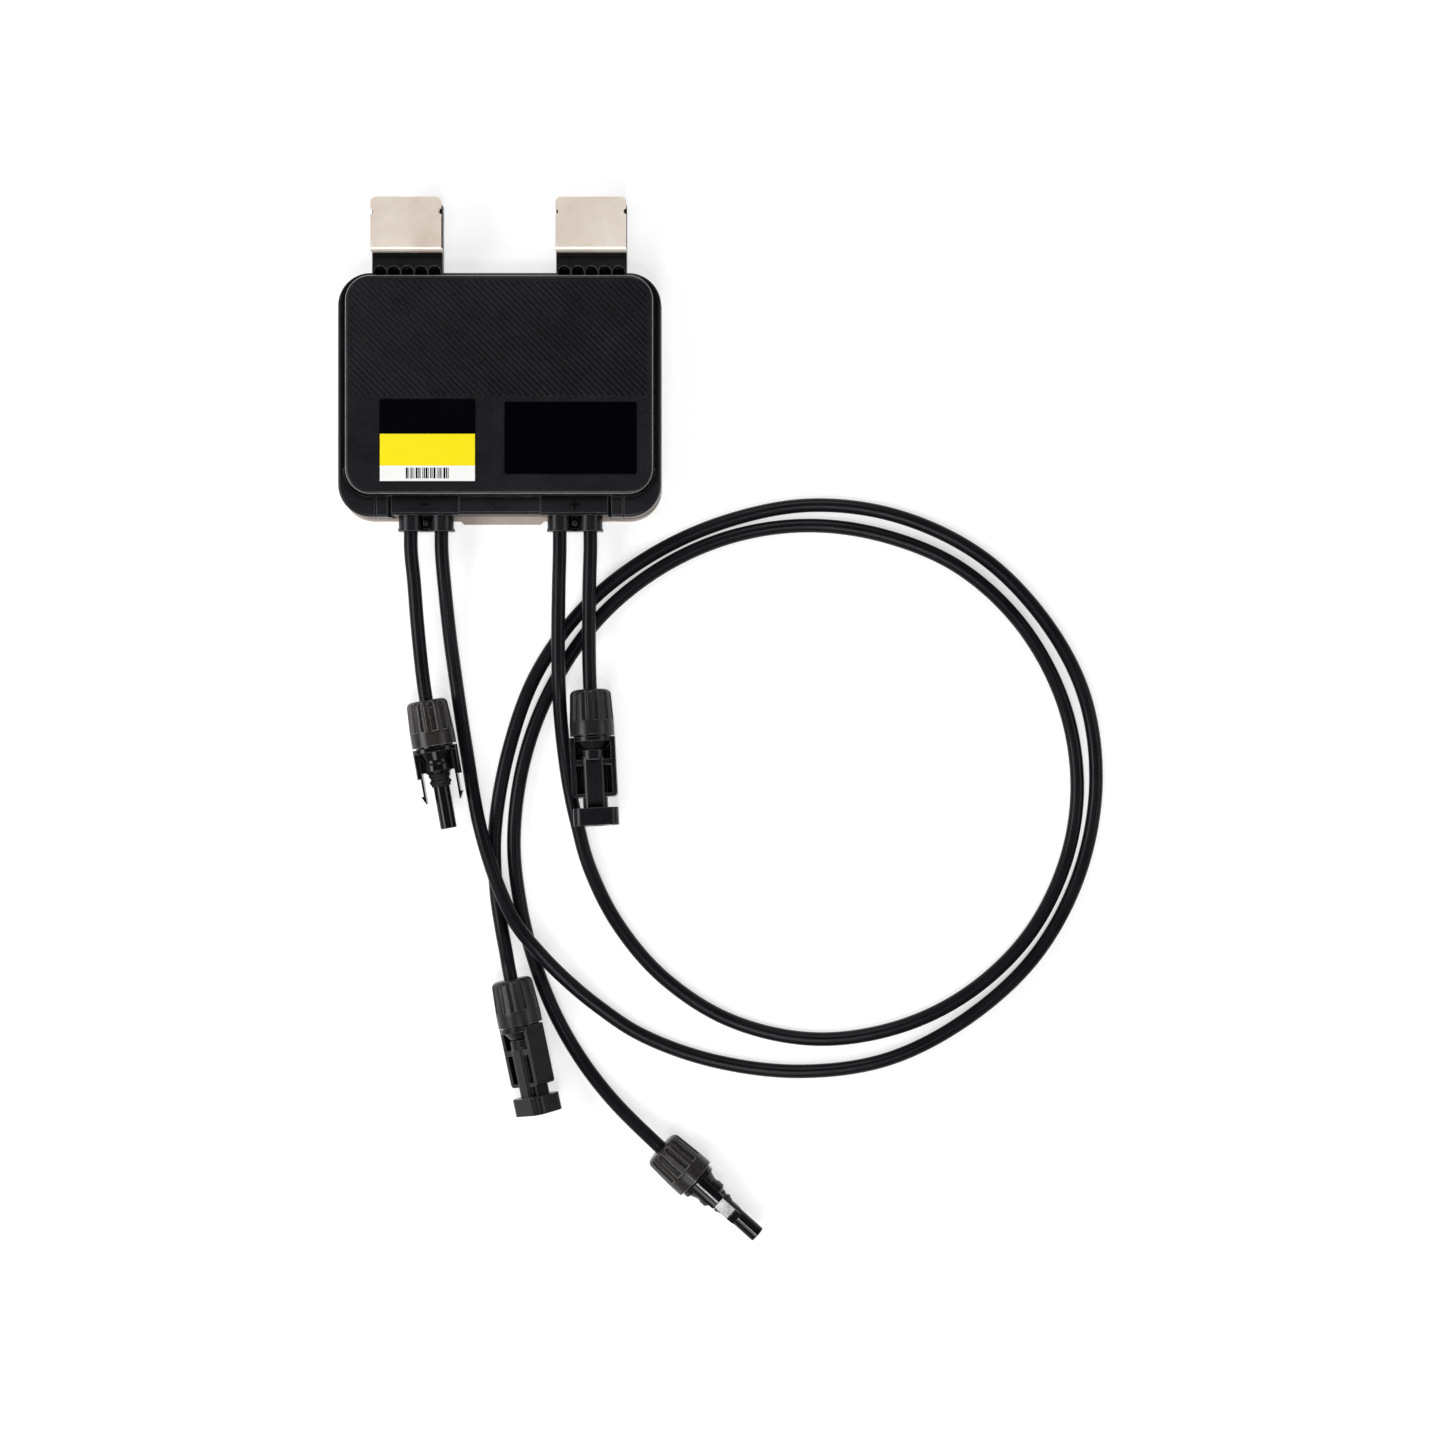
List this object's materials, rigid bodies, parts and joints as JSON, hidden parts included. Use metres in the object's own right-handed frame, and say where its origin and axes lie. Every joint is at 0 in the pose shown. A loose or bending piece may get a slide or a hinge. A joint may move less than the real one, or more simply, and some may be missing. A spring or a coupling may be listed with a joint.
{
  "type": "solar power optimizer",
  "caption": "Flat black moulded optimizer box with spring clips for a panel frame, a steel rear plate and looped leads that end in locking connectors.",
  "frame": {"origin": "on the rear face, midway between the clips' ends and the cable bosses' ends and midway across the housing", "axes": "+X across the housing to the positive leads' side, +Y towards the frame clips, +Z out of the front panel"},
  "size_m": [0.3292, 0.4467, 0.0229],
  "materials": {
    "housing_plastic": "fine moulded texture",
    "plate_steel": "zinc coated, passivated",
    "seal_rubber": "matt",
    "screw_steel": "zinc plated",
    "clip_steel": "rolled spring steel",
    "rating_film": "printed film",
    "dark_film": "gloss film",
    "block_plastic": "moulded",
    "board_laminate": "solder mask",
    "ferrite": "sintered",
    "coil_wire": "enamelled wire",
    "chip_plastic": "moulded epoxy",
    "pad_rubber": "filled silicone",
    "capacitor_plastic": "boxed film",
    "shield_steel": "tinned",
    "terminal_brass": "stamped",
    "lead_jacket": "cross-linked jacket",
    "connector_plastic": "moulded",
    "contact_metal": "tin plated"
  },
  "bodies": {
    "root": {"housing": "housing_plastic", "rear_plate": "plate_steel", "plate_gasket": "seal_rubber", "plate_screws": "screw_steel", "left_frame_clip": "clip_steel", "right_frame_clip": "clip_steel", "clip_rivets": "screw_steel", "rating_label": "rating_film", "dark_label": "dark_film", "negative_lead_block": "block_plastic", "positive_lead_block": "block_plastic", "circuit_board": "board_laminate", "board_screws": "screw_steel", "inductor_core": "ferrite", "inductor_coil": "coil_wire", "power_transistors": "chip_plastic", "thermal_pad": "pad_rubber", "film_capacitors": "capacitor_plastic", "control_chip": "chip_plastic", "radio_module": "shield_steel", "bypass_diode": "chip_plastic", "lead_terminals": "terminal_brass", "negative_input_lead": "lead_jacket", "negative_output_lead": "lead_jacket", "positive_input_lead": "lead_jacket", "positive_output_lead": "lead_jacket", "negative_input_nut": "connector_plastic", "negative_input_plug": "connector_plastic", "negative_input_gland": "seal_rubber", "negative_input_contact": "contact_metal", "negative_input_seal": "seal_rubber", "negative_output_nut": "connector_plastic", "negative_output_socket": "connector_plastic", "negative_output_gland": "seal_rubber", "negative_output_contact": "contact_metal", "positive_input_nut": "connector_plastic", "positive_input_socket": "connector_plastic", "positive_input_gland": "seal_rubber", "positive_input_contact": "contact_metal", "positive_output_nut": "connector_plastic", "positive_output_plug": "connector_plastic", "positive_output_gland": "seal_rubber", "positive_output_contact": "contact_metal", "positive_output_seal": "seal_rubber"}
  },
  "joints": []
}
